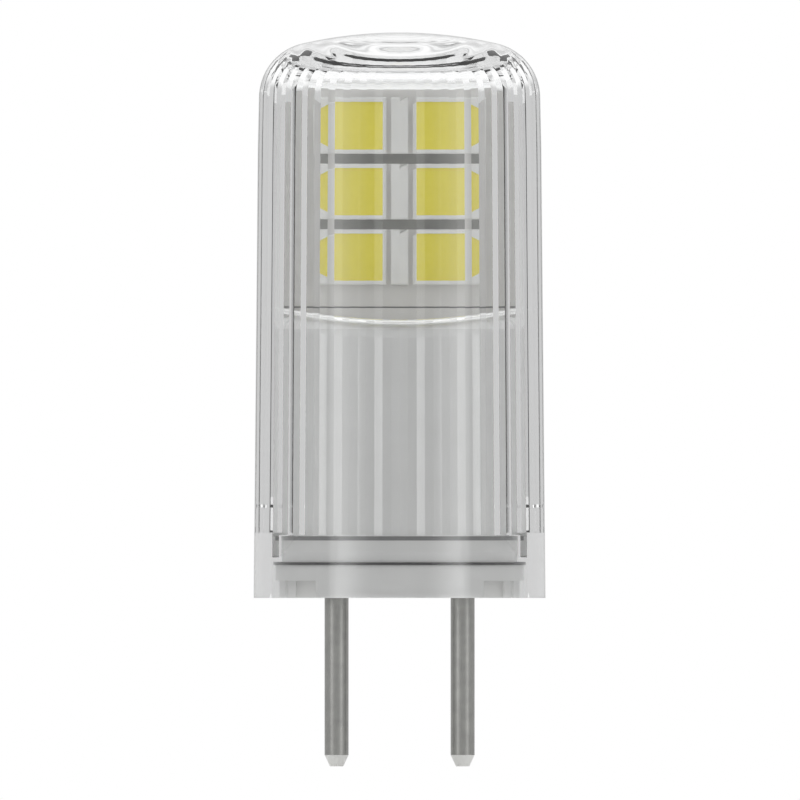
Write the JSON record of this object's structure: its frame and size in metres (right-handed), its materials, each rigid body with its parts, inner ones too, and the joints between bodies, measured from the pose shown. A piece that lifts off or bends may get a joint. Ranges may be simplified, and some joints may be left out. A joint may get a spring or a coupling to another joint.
{
  "type": "led capsule bulb",
  "caption": "Two-pin capsule lamp: a clear domed capsule with internal flutes over an upright board with yellow-faced LEDs, potted above a plain snap-in base.",
  "frame": {"origin": "centre of the base's seating face, midway between the two contact pins", "axes": "+Z along the capsule's axis to its crown, X along the row of the two pins, LEDs facing -Y and +Y"},
  "size_m": [0.0148, 0.0146, 0.037],
  "materials": {
    "clear_cover": "clear, polished, slightly grey at the edges",
    "base_plastic": "pale grey satin moulding",
    "seal_rubber": "black sealing rubber",
    "plated_pin": "bright nickel plate, lightly satin",
    "board_face": "white solder mask, satin",
    "led_body": "white moulded LED frame",
    "phosphor_gel": "yellow phosphor silicone, satin",
    "potting_compound": "pale grey cast silicone, glossy on its free surface",
    "tinned_metal": "tinned, bright",
    "chip_moulding": "black moulding compound",
    "chip_ceramic": "tan ceramic",
    "ferrite_core": "dark sintered ferrite"
  },
  "bodies": {
    "root": {"base_plug": "base_plastic", "bridge_rectifier": "chip_moulding", "cover": "clear_cover", "driver_chip": "chip_moulding", "inductor": "ferrite_core", "input_capacitor": "chip_ceramic", "lead_left": "tinned_metal", "lead_right": "tinned_metal", "led_board": "board_face", "led_frame_back_left_1": "led_body", "led_frame_back_left_2": "led_body", "led_frame_back_left_3": "led_body", "led_frame_back_right_1": "led_body", "led_frame_back_right_2": "led_body", "led_frame_back_right_3": "led_body", "led_frame_front_left_1": "led_body", "led_frame_front_left_2": "led_body", "led_frame_front_left_3": "led_body", "led_frame_front_right_1": "led_body", "led_frame_front_right_2": "led_body", "led_frame_front_right_3": "led_body", "output_capacitor": "chip_ceramic", "phosphor_back_left_1": "phosphor_gel", "phosphor_back_left_2": "phosphor_gel", "phosphor_back_left_3": "phosphor_gel", "phosphor_back_right_1": "phosphor_gel", "phosphor_back_right_2": "phosphor_gel", "phosphor_back_right_3": "phosphor_gel", "phosphor_front_left_1": "phosphor_gel", "phosphor_front_left_2": "phosphor_gel", "phosphor_front_left_3": "phosphor_gel", "phosphor_front_right_1": "phosphor_gel", "phosphor_front_right_2": "phosphor_gel", "phosphor_front_right_3": "phosphor_gel", "pin_left": "plated_pin", "pin_right": "plated_pin", "potting": "potting_compound", "seal_ring": "seal_rubber", "sense_resistor_left": "chip_ceramic", "sense_resistor_right": "chip_ceramic", "solder_left": "tinned_metal", "solder_right": "tinned_metal"}
  },
  "joints": []
}
